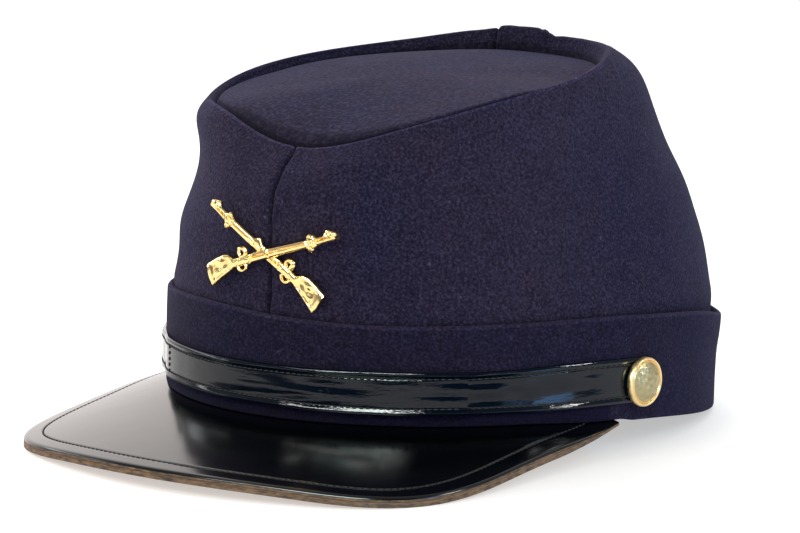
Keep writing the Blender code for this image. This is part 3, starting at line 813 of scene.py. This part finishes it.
# ---- stitching on the peak
def build_peak_stitches():
    plan, level = peak_rows([0.0, STITCH_INSET], 1200)
    line = np.concatenate([plan[:, 1], level[:, 1:2]], -1)
    step = np.concatenate([[0], np.cumsum(np.linalg.norm(np.diff(line, axis=0), axis=1))])
    paths = []
    for start in np.arange(3.0, step[-1] - 4.0, STITCH_PITCH):
        at = start + np.array([0.0, 0.35, 1.0, 1.65, 2.0]) * STITCH_PITCH * 0.36
        row = np.stack([np.interp(at, step, line[:, k]) for k in range(3)], -1)
        row[:, 2] += np.array([-0.42, -0.18, -0.08, -0.18, -0.42])
        paths.append(row)
    points, faces, material = tube_parts(paths, 0.24, black_thread)
    piece("peak_stitches", [(points, faces, material)])


# ---- chin strap
STRAP_RADIUS = 95.0  # mean radius of the strap's way round, to turn azimuth into length
MARGIN = 2.1  # distance of the stitches from the strap's edges
# azimuth and height of each strap piece's lower and upper edge
OUTER_LOW = (
    (-84, 6.1), (-60, 6.6), (-41, 7.2), (-25, 7.06), (-10, 6.5), (1, 6.35), (14, 5.95), (29, 5.85),
    (42, 6.1),
)
OUTER_HIGH = (
    (-84, 20.4), (-55, 19.0), (-31, 19.7), (-17, 19.2), (-4, 18.95), (10, 18.97), (25, 19.2),
    (42, 19.4),
)
INNER_LOW = ((-31, 6.4), (20, 6.2), (43, 5.85), (48, 6.03), (60, 6.0), (69, 6.15), (83, 5.9))
INNER_HIGH = ((-31, 18.9), (20, 18.9), (43, 19.05), (52, 19.6), (60, 20.35), (69, 20.5), (83, 20.1))
# distance from the strap's edge, and how far the pressed margin and its stitched groove stand out
STRAP_MARGIN = (
    (0.0, 0.0), (0.85, 0.347), (0.95, 0.347), (2.05, -0.107), (2.25, -0.107), (2.4, -0.02), (2.6, 0.0),
)
# azimuth, height, and how wide and high each soft dent in the strap is, then its depth
OUTER_DENTS = (
    (4, 16.8, 8, 2.5, 0.62), (-3, 13.4, 4, 0.8, 0.16), (13, 13.9, 8, 1.7, 0.42),
    (27, 18.3, 11, 1.8, 0.4), (-8, 8.9, 6, 1.4, 0.34), (2, 9.6, 7, 1.6, 0.42),
    (10, 10.6, 5, 1.1, 0.26), (14, 8.4, 5, 1.0, 0.2), (38, 12.2, 5, 0.8, 0.2),
    (41, 16.2, 4, 1.1, 0.36), (-68, 12.0, 9, 4.0, 0.14),
)
INNER_DENTS = (
    (45.5, 15.6, 4.5, 1.3, 0.48), (51.0, 12.9, 2.2, 1.6, 0.52), (46.5, 19.2, 5, 2.4, 0.6),
    (67.0, 16.9, 2.6, 1.4, 0.34), (46.0, 10.4, 4.5, 2.4, 0.58), (52.5, 10.2, 2.8, 2.2, 0.46),
    (66.5, 12.4, 4.0, 2.2, 0.4), (58.8, 11.6, 3.6, 3.4, 0.6),
)


def strap_face(azimuth, across, low, high, inside, dents, seed):
    """Points of the strap's outer face; across runs from 0 at its lower edge to 1."""
    height = low + (high - low) * across
    edge = np.minimum(across, 1 - across) * (high - low)
    arc = np.radians(azimuth) * STRAP_RADIUS
    out = STRAP_LEATHER - 0.5 * (1 - quarter_round(edge, 0.25)) + look_up(STRAP_MARGIN, edge)
    uneven = 0.035 + 0.06 * bell(azimuth, 14.0, 32.0)
    ripple = uneven * waves(arc / 9.0, height / 1.5, seed) * smooth(1.8, 3.0, edge)
    ripple = ripple + 0.05 * waves(arc / 4.0, 0 * height, seed + 1)
    inner = smooth(0, 2, edge)
    for place, up, wide, tall, depth in dents:
        ripple = ripple - depth * bell(azimuth, place, wide) * bell(height, up, tall) * inner
    return on_side(azimuth, inside + out + ripple, height)


def build_strap(name, node, start, end, inside, low, high, dents, seed, cross_rows=()):
    """A strap piece between two azimuths, its stitched margins and rows of stitches across it."""
    def edges(at):
        return look_up(low, at), look_up(high, at)

    def stitch(at, across, lift):
        row = strap_face(at, across, *edges(at), inside(at), dents, seed)
        nx, ny = oval_normal(at)
        return row + np.stack([nx * lift, ny * lift, 0 * nx], -1)

    azimuth = np.linspace(start, end, int(abs(end - start) / 0.4) + 1)[:, None]
    lower, upper = edges(azimuth)
    wide = float(np.mean(upper - lower))
    edge = np.array([0.0, 0.03, 0.08, 0.16, 0.25, 0.4, 0.6, 0.85, 0.95, 1.05, 1.2, 1.4, 1.65, 1.9, 2.05,
                     2.15, 2.25, 2.4, 2.6, 2.75, 3.0]) / wide
    middle = np.linspace(3.4 / wide, 1 - 3.4 / wide, 20)
    across = np.concatenate([edge, middle, 1 - edge[::-1]])[None, :]
    within = inside(azimuth)
    face = strap_face(azimuth, across, lower, upper, within, dents, seed)
    back = on_side(azimuth + 0 * across, within + 0 * across, lower + (upper - lower) * across)
    points, faces = shell(face, back)
    paths = []
    pitch = STITCH_PITCH / STRAP_RADIUS / math.pi * 180
    for from_top in (0, 1):
        for begin in np.arange(min(start, end) + 0.9, max(start, end) - 1.6, pitch):
            at = begin + np.array([0.0, 0.2, 0.5, 0.8, 1.0]) * pitch * 0.74
            lo, hi = edges(at)
            t = 1 - MARGIN / (hi - lo) if from_top else MARGIN / (hi - lo)
            paths.append(stitch(at, t, np.array([-0.12, 0.1, 0.18, 0.1, -0.12])))
    for place in cross_rows:
        at = np.full(4, place)
        lo, hi = edges(at)
        for up in np.arange(8.9, 17.6, 1.9):
            t = (np.array([up, up + 0.4, up + 0.9, up + 1.3]) - lo) / (hi - lo)
            paths.append(stitch(at, t, np.array([-0.1, 0.16, 0.16, -0.1])))
    parts = [(points, faces, strap_patent), tube_parts(paths, 0.26, black_thread)]
    piece(name, parts, [node], 50)


def build_straps():
    end = BUTTON_AZIMUTH + 2.6
    over = 2 * GAP + STRAP_LEATHER

    def over_inner(azimuth):
        return GAP + (over - GAP) * smooth(INNER_END - 9, INNER_END - 1, azimuth)

    build_strap("strap_inner_leather", "chin_strap_inner", INNER_END, end,
                lambda azimuth: GAP + 0 * azimuth, INNER_LOW, INNER_HIGH, INNER_DENTS, 41)
    build_strap("strap_outer_leather", "chin_strap_outer", -end, OUTER_END, over_inner,
                OUTER_LOW, OUTER_HIGH, OUTER_DENTS, 43, (-31.0,))


# ---- buttons
RIM_ROWS = 20  # rows of a button's grid that belong to its rim
FIELD_FROM = 23  # first row of its relief


def build_button(name, side):
    azimuth = side * BUTTON_AZIMUTH
    nx, ny = oval_normal(azimuth)
    out, across, up = np.array([nx, ny, 0.0]), np.array([-ny, nx, 0.0]), np.array([0.0, 0.0, 1.0])
    centre = on_side(azimuth, 2 * GAP + STRAP_LEATHER, BUTTON_HEIGHT)
    shares = np.concatenate([[0.9, 0.96, 0.99, 1.0, 1.0, 0.99, 0.97], np.linspace(0.95, 0.8, 14),
                             np.linspace(0.78, 0.02, 38)])
    depths = np.interp(shares, [0.0, 0.3, 0.6, 0.8, 0.845], [3.7, 3.45, 2.75, 1.95, 1.5])
    bead = 1.15 + 0.95 * np.sqrt(np.clip(1 - ((shares - 0.925) / 0.075) ** 2, 0, 1))
    depths = np.where(shares > 0.85, bead, depths)
    depths[:4] = (0.0, 0.05, 0.3, 0.8)
    t = np.arange(120) * 2 * math.pi / 120
    grid = []
    for k, (share, depth) in enumerate(zip(shares, depths)):
        px, py = share * np.cos(t), share * np.sin(t)
        relief = 0.0
        if k >= FIELD_FROM:
            field = smooth(0.76, 0.66, share)
            relief = field * (0.28 * waves(px * 4.2, py * 4.2, 61, 9, 0.8, 2.4)
                              + 0.15 * waves(px * 11, py * 11, 62, 9, 0.8, 2.4))
        spot = centre + (across * px[:, None] + up * py[:, None]) * BUTTON_RADIUS
        grid.append(spot + out * (depth + relief + 0 * px)[:, None])
    grid = np.stack(grid, 1)
    n, m = grid.shape[:2]
    points = grid.reshape(-1, 3)
    faces = corners(grid_faces(n, m, ring=True))
    faces += [tuple(i * m + k for i in range(n)) for k in (0, m - 1)]
    parts = split(points, faces, (rim_brass, button_brass), lambda f: f[0] % m >= RIM_ROWS)
    piece(f"{name}_brass", parts, [name], 50)


# ---- badge
# place along a rifle from its muzzle, and the heights of its upper and lower edge there
RIFLE_OUTLINE = (
    (26.3, 0.8, -1.0), (25.9, 1.6, -1.1), (25.3, 1.9, -1.1), (24.4, 2.3, -1.1), (23.5, 2.7, -1.1),
    (22.7, 1.9, -1.1), (22.1, 1.1, -1.1), (20.8, 1.1, -1.2), (19.5, 1.1, -1.4), (18.7, 2.2, -1.8),
    (17.5, 2.3, -2.4), (16.5, 1.3, -2.4), (15.6, 1.1, -1.4), (6.3, 1.2, -1.55), (5.1, 2.5, -1.55),
    (4.4, 2.7, -1.55), (3.9, 2.5, -1.55), (2.5, 1.4, -1.6), (-5.9, 1.2, -1.8), (-10.5, 0.95, -1.9),
    (-12.5, 0.9, -2.0), (-13.5, 1.7, -2.2), (-14.5, 2.5, -2.5), (-16.5, 2.9, -3.2), (-19.5, 2.5, -4.2),
    (-23.3, 1.7, -5.7), (-23.8, 1.5, -4.0),
)
RIFLE_THICK, RIFLE_CROSS = 1.5, 1.0
# place along and above a rifle's axis, radius, thickness and squash of the hammer and the trigger guard
GUARDS = ((-8.6, 2.15, 1.25, 0.72, 1.0), (-9.7, -2.2, 1.55, 0.68, 0.75))
# the same place, radius and rise of the knobs, of which the large ones are dimpled
KNOBS = ((17.7, 1.6, 1.05, 1.15), (17.3, -1.9, 1.05, 1.15), (-9.6, 3.6, 0.6, 0.7), (25.9, 0.7, 0.85, 0.9))


def on_badge(along, up, depth, side):
    """From a rifle's own axes to the curved badge on the crown's front."""
    a, t = math.radians(RIFLE_ANGLE), math.radians(BADGE_TURN)
    u = (along * math.cos(a) - up * math.sin(a)) * side
    v = along * math.sin(a) + up * math.cos(a)
    x, z = u * math.cos(t) - v * math.sin(t), u * math.sin(t) + v * math.cos(t)
    front = HALF_LENGTH - BAND_CLOTH - GAP + 0.5
    return np.stack([x, -(front + depth) + BADGE_BEND * x * x, BADGE_HEIGHT + z], -1)


def rifle_relief(along, across, up):
    """Depth of a rifle's face over its back, along its length and from -1 to 1 across."""
    s = np.abs(across)
    depth = RIFLE_THICK * (0.42 + 0.58 * np.sqrt(np.clip(1 - s**2.6, 0, 1)))
    barrel = smooth(-8, -6, along) * (1 - smooth(24.5, 25.2, along))
    clear_of_bands = (1 - bell(along, 17.6, 1.0)) * (1 - bell(along, 4.6, 1.0))
    depth -= 0.55 * barrel * bell(up, 0.05, 0.17) * clear_of_bands
    butt = 1 - smooth(-14.6, -13.0, along)
    panel = smooth(0.8, 0.55, s) * smooth(-22.8, -21.4, along) * butt
    depth -= 0.34 * panel
    depth += 0.22 * panel * waves(along * 1.1, up * 1.5, 71, 5, 1.0, 1.9)
    lock = bell(along, -5.6 + 0.5 * up, 0.34) + 0.8 * bell(along, -10.6 + 0.6 * up, 0.3)
    lock += 0.7 * bell(along, 1.4, 0.22)
    depth -= 0.5 * lock * smooth(0.95, 0.7, s)
    depth -= 0.75 * bell(along, 24.0, 0.55) * bell(up, 1.45, 0.5)
    depth -= 0.5 * bell(along, 21.6, 1.6) * bell(up, 0.25, 0.25)
    depth -= 0.3 * bell(along, 16.2, 0.25) + 0.3 * bell(along, 19.2, 0.25)
    return np.maximum(depth, 0.35)


def guard_part(side, lift, along, up, radius, wire, squash):
    t = np.linspace(0, 2 * math.pi, 33)[:-1, None]
    k = np.arange(10)[None, :] * 2 * math.pi / 10
    r = radius + wire * np.cos(k)
    grid = on_badge(along + r * np.cos(t), up + squash * r * np.sin(t),
                    lift + 0.62 + wire * np.sin(k) + 0 * t, side)
    faces = [(i * 10 + q, (i + 1) % 32 * 10 + q, (i + 1) % 32 * 10 + (q + 1) % 10, i * 10 + (q + 1) % 10)
             for i in range(32) for q in range(10)]
    return grid.reshape(-1, 3), faces, badge_brass


def knob_part(side, lift, along, up, radius, rise):
    lat = np.linspace(-math.pi / 2, math.pi / 2, 10)[None, :]
    t = np.arange(16)[:, None] * 2 * math.pi / 16
    r = radius * np.cos(lat)
    dimple = 0.45 * bell(r, 0, radius * 0.4) * (lat > 0) if radius > 1 else 0.0
    grid = on_badge(along + r * np.cos(t), up + r * np.sin(t),
                    lift + rise + radius * np.sin(lat) * 0.85 - dimple + 0 * t, side)
    return grid.reshape(-1, 3), corners(grid_faces(16, 10, ring=True)), badge_brass


def build_badge():
    rows = np.array(RIFLE_OUTLINE)
    order = np.argsort(rows[:, 0])
    sample = np.unique(np.concatenate([rows[:, 0], np.arange(-23.6, 26.2, 0.2)]))
    high = np.interp(sample, rows[order, 0], rows[order, 1])
    low = np.interp(sample, rows[order, 0], rows[order, 2])
    half = [0.11, 0.22, 0.33, 0.44, 0.55, 0.66, 0.76, 0.86, 0.94, 0.985, 1]
    across = np.array([-v for v in half[::-1]] + [0] + half)[None, :]
    parts = []
    for side, lift in ((-1, 0.0), (1, RIFLE_CROSS)):
        along = sample[:, None] + 0 * across
        if side > 0:
            high = np.where((sample > 2.4) & (sample < 6.3), 1.25, high)
        up = ((high + low) / 2)[:, None] + ((high - low) / 2)[:, None] * across
        depth = rifle_relief(along, across + 0 * along, up)
        face = on_badge(along, up, lift + depth, side)
        back = on_badge(along, up, 0.0 * depth, side)
        parts.append((*shell(face, back), badge_brass))
        parts += [guard_part(side, lift, *guard) for guard in GUARDS]
        parts += [knob_part(side, lift, *knob) for knob in KNOBS]
    piece("badge_brass", parts, ["badge"], 35)


# ---- floor, light, camera
# azimuth, elevation, width and height in degrees as the cap sees it, luminance, colour; then the roll
CLOTH_LIGHTS = (
    ("fill_left", -100, 30, 45, 36, 2.65, (1.02, 1.0, 0.98)),
    ("fill_front_left", -60, 35, 45, 36, 1.14, (1.09, 1.0, 0.92)),
    ("fill_front", -10, 35, 45, 36, 1.0, (1.36, 1.0, 0.65)),
    ("fill_front_right", 35, 35, 45, 36, 0.77, (1.15, 1.0, 0.82)),
    ("fill_right", 80, 32, 45, 36, 1.72, (0.78, 1.0, 1.13)),
    ("fill_back", -140, 40, 45, 36, 0.55, (1.1, 1.0, 0.9)),
)
GLOSS_LIGHTS = (
    ("front_strip", 8.5, 37.4, 54, 4.6, 42, (1.0, 0.97, 0.95), -6),
    ("front_glow", 17, 30, 36, 11, 18, (0.74, 1.0, 0.92)),
    ("front_core", 18, 30, 24, 7, 12, (0.74, 1.0, 0.92)),
    ("left_strip", -74, 20, 42, 5, 6, (0.92, 1.0, 1.03), -19),
    ("right_spark", 109, 31, 12, 6, 44, (1.0, 1.0, 1.0)),
    ("right_panel", 90, 7, 14, 13, 5.5, (0.24, 0.5, 1.0)),
    ("right_halo", 86, 8, 28, 20, 1.0, (0.35, 0.62, 1.0)),
)
# the camera's direction from the cap, its distance, and how far it aims to the right and up, in mm
CAMERA_AZIMUTH, CAMERA_ELEVATION, CAMERA_ROLL = 34.09, 8.795, 0.56
CAMERA_DISTANCE, AIM_RIGHT, AIM_UP = 1004.264, -15.283, 40.948
FOCAL_PIXELS, PHOTO_WIDTH, SENSOR_WIDTH = 2974.6, 800, 36


def stage_floor():
    mesh = bpy.data.meshes.new("floor")
    r = 4.0
    mesh.from_pydata([(-r, -r, 0), (r, -r, 0), (r, r, 0), (-r, r, 0)], [], [(0, 1, 2, 3)])
    floor = new_object("floor", mesh)
    n = new_material("pale_floor")
    mesh.materials.append(n.surface(Base_Color=(0.63, 0.63, 0.63), Roughness=0.9, Specular_IOR_Level=0.1,
                                    Emission_Color=(1.0, 1.0, 1.0), Emission_Strength=0.48))


def softbox(glossy, name, azimuth, elevation, wide, high, luminance, colour, roll=0.0):
    """An even soft light 1.2 m from the cap, sized in degrees as seen from it.

    The cloth lights aren't mirrored, and the glossy ones are only seen in the leather and brass.
    """
    a, e, far = math.radians(azimuth), math.radians(elevation), 1.2
    place = Vector((math.sin(a) * math.cos(e), -math.cos(a) * math.cos(e), math.sin(e))) * far
    light = bpy.data.lights.new(name, "AREA")
    light.shape = "RECTANGLE"
    size = [2 * far * math.tan(math.radians(v / 2)) for v in (wide, high)]
    light.size, light.size_y = size
    light.energy = luminance * math.pi * size[0] * size[1]
    light.color = colour
    obj = new_object(name, light)
    obj.location = place
    turn = (Vector((0, 0, 0.03)) - place).to_track_quat("-Z", "Y")
    obj.rotation_euler = (turn @ Quaternion((0, 0, 1), math.radians(roll))).to_euler()
    obj.visible_glossy, obj.visible_diffuse = glossy, not glossy


def studio():
    world = bpy.context.scene.world = bpy.data.worlds.new("studio")
    n = Nodes(world, "Generated")
    facing = n.add("ShaderNodeVectorMath", {0: n.place, 1: (-0.6, 0.79, 0.12)}, operation="DOT_PRODUCT")
    ramp = n.add("ShaderNodeValToRGB", {0: n.span(facing.outputs["Value"], -1.0, 1.0)})
    stops = ((0.1, (0.05, 0.055, 0.06)), (0.42, (0.3, 0.31, 0.33)), (0.74, (0.4, 0.4, 0.41)),
             (0.9, (1.62, 1.52, 1.48)))
    while len(ramp.color_ramp.elements) < len(stops):
        ramp.color_ramp.elements.new(0.5)
    for stop, (place_at, colour) in zip(ramp.color_ramp.elements, stops):
        stop.position = place_at
        stop.color = (*colour, 1.0)
    n.fill(n.tree.nodes["Background"], {"Color": ramp.outputs[0], "Strength": 1.0})
    key = bpy.data.lights.new("overhead", "SUN")
    key.energy = 1.2
    key.angle = math.radians(40)
    sun = new_object("overhead", key)
    sun.visible_glossy = False
    sun.rotation_euler = Vector((0.3, -0.45, -0.84)).to_track_quat("-Z", "Y").to_euler()
    for row in CLOTH_LIGHTS:
        softbox(False, *row)
    for row in GLOSS_LIGHTS:
        softbox(True, *row)


def camera():
    az, el, roll = (math.radians(v) for v in (CAMERA_AZIMUTH, CAMERA_ELEVATION, CAMERA_ROLL))
    back = Vector((math.sin(az) * math.cos(el), -math.cos(az) * math.cos(el), math.sin(el)))
    right = Vector((math.cos(az), math.sin(az), 0.0))
    up = back.cross(right)
    place = right * AIM_RIGHT + up * AIM_UP + back * CAMERA_DISTANCE + Vector((0.0, MIDDLE_SHIFT, SETTLE))
    side = right * math.cos(roll) + up * math.sin(roll)
    top = up * math.cos(roll) - right * math.sin(roll)
    data = bpy.data.cameras.new("camera")
    data.sensor_width = SENSOR_WIDTH
    data.lens = FOCAL_PIXELS / PHOTO_WIDTH * SENSOR_WIDTH
    data.clip_start, data.clip_end = 0.05, 30.0
    obj = new_object("camera", data)
    turn = Matrix((side, top, back)).transposed().to_4x4()
    obj.matrix_world = Matrix.Translation(place * MM) @ turn
    bpy.context.scene.camera = obj


build_crown()
build_crown_top()
build_band()
build_peak()
build_peak_stitches()
build_straps()
build_button("button_left", 1)
build_button("button_right", -1)
build_badge()
stage_floor()
studio()
camera()
bpy.context.scene.view_settings.view_transform = "Standard"
